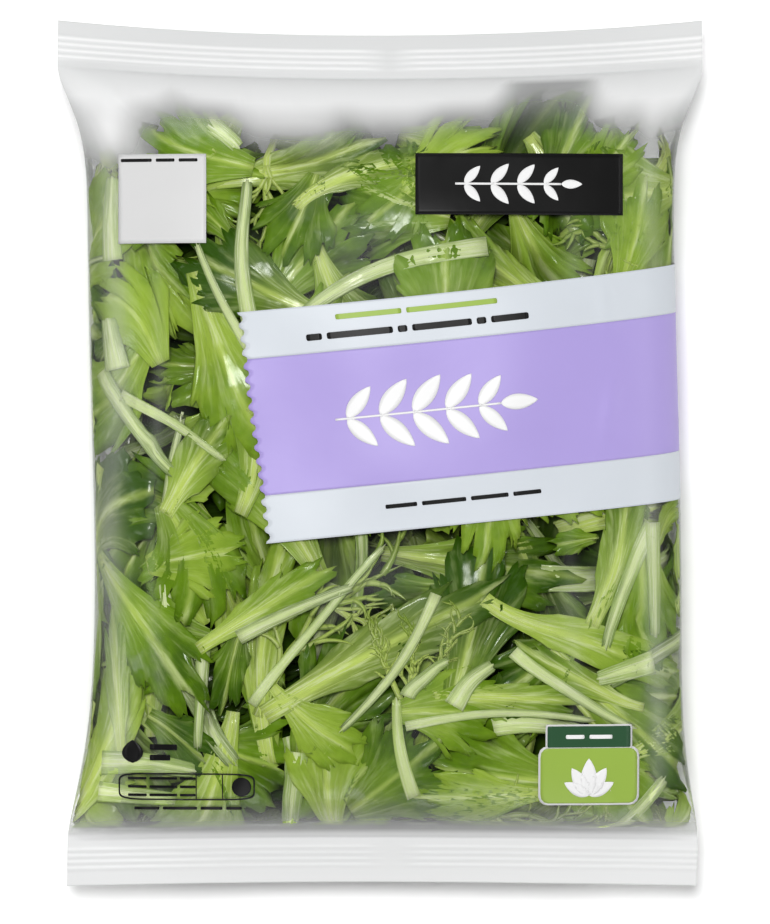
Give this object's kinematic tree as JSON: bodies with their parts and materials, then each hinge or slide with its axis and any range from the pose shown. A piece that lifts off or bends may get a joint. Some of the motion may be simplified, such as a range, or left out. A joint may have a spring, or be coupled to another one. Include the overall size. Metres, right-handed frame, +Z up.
{
  "type": "bag of salad leaves",
  "caption": "Sealed clear film pillow bag full of cut curly salad leaves, lying on its back, with ridged end seals and a printed band round its front.",
  "frame": {"origin": "middle of the bag's outline on the surface that it rests on", "axes": "+X across the bag to the right as its front is read, +Y from the bottom seal to the top seal, +Z up out of the printed front"},
  "size_m": [0.2084, 0.28, 0.0511],
  "materials": {
    "film": "clear glossy film, faintly milky at the seals and sides",
    "leaf": "fresh green leaf, satin, with pale ribs",
    "stalk": "pale leaf rib and stalk, moist satin",
    "print_lilac": "lilac ink under gloss film",
    "print_pale": "pale lavender ink under gloss film",
    "print_black": "black ink under gloss film",
    "print_white": "white ink under gloss film",
    "print_green": "leaf green ink under gloss film",
    "print_dark_green": "dark green ink under gloss film"
  },
  "bodies": {
    "root": {"bag": "film"}
  },
  "joints": []
}
